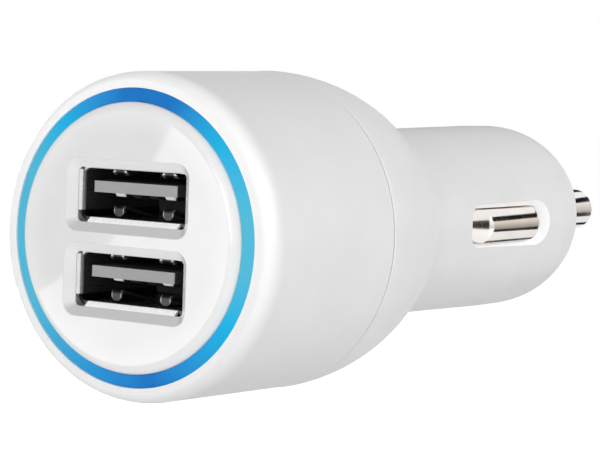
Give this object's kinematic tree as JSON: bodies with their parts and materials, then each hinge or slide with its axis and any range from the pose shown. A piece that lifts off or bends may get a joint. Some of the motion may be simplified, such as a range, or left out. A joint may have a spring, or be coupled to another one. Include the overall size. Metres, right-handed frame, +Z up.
{
  "type": "car usb charger plug",
  "caption": "White plug-in car charger with stacked USB-A ports in a lit ring, nickel side contacts and a sprung centre contact.",
  "frame": {"origin": "on the plug's axis, in the plane of the vehicle socket's mouth, where the head's hollow blend meets the barrel", "axes": "+Y along the barrel towards the centre contact, -Y out of the USB ports, +Z up across the two stacked ports, +X to the right seen from the ports"},
  "size_m": [0.0318, 0.0928, 0.0318],
  "materials": {
    "shell_white": "fine satin",
    "plate_white": "smooth",
    "ring_blue": "translucent, lit from behind",
    "cage_nickel": "nickel plated sheet",
    "tongue_white": "moulded",
    "pin_gold": "gold plated",
    "board_green": "solder mask",
    "led_lens": "clear moulded",
    "header_black": "moulded",
    "ferrite": "sintered ferrite",
    "copper_wire": "enamelled wire",
    "can_aluminium": "drawn can",
    "chip_black": "moulded",
    "contact_nickel": "nickel plated, polished",
    "tip_chrome": "nickel plated, polished",
    "bush_white": "moulded",
    "spring_steel": "drawn wire",
    "cup_brass": "plain"
  },
  "bodies": {
    "housing": {"front_shell": "shell_white", "face_plate": "plate_white", "light_ring": "ring_blue", "rear_shell": "shell_white", "upper_port_cage": "cage_nickel", "lower_port_cage": "cage_nickel", "upper_port_tongue": "tongue_white", "lower_port_tongue": "tongue_white", "upper_pin_1": "pin_gold", "upper_pin_2": "pin_gold", "upper_pin_3": "pin_gold", "upper_pin_4": "pin_gold", "lower_pin_1": "pin_gold", "lower_pin_2": "pin_gold", "lower_pin_3": "pin_gold", "lower_pin_4": "pin_gold", "port_board": "board_green", "ring_led_1": "led_lens", "ring_led_2": "led_lens", "ring_led_3": "led_lens", "ring_led_4": "led_lens", "main_board": "board_green", "board_header": "header_black", "coil_core": "ferrite", "coil_winding": "copper_wire", "input_capacitor": "can_aluminium", "output_capacitor": "can_aluminium", "converter_chip": "chip_black", "port_chip": "chip_black", "diode": "chip_black", "tip_bush": "bush_white", "tip_spring": "spring_steel", "spring_cup": "cup_brass", "side_spring_right": "spring_steel", "side_spring_left": "spring_steel"},
    "tip": {"centre_tip": "tip_chrome"},
    "side_contact_right": {"side_contact_right": "contact_nickel"},
    "side_contact_left": {"side_contact_left": "contact_nickel"}
  },
  "joints": [
    {"name": "tip_slide", "type": "slide", "parent": "housing", "child": "tip", "axis": [0, -1, 0], "range_m": [0, 0.004], "stiffness_N_per_m": 600, "springref_m": -0.002, "deforming": ["tip_spring"]},
    {"name": "side_contact_right_slide", "type": "slide", "parent": "housing", "child": "side_contact_right", "axis": [-1, 0, 0], "range_m": [0, 0.001], "stiffness_N_per_m": 1500, "springref_m": -0.0005, "deforming": ["side_spring_right"]},
    {"name": "side_contact_left_slide", "type": "slide", "parent": "housing", "child": "side_contact_left", "axis": [1, 0, 0], "range_m": [0, 0.001], "stiffness_N_per_m": 1500, "springref_m": -0.0005, "deforming": ["side_spring_left"]}
  ]
}
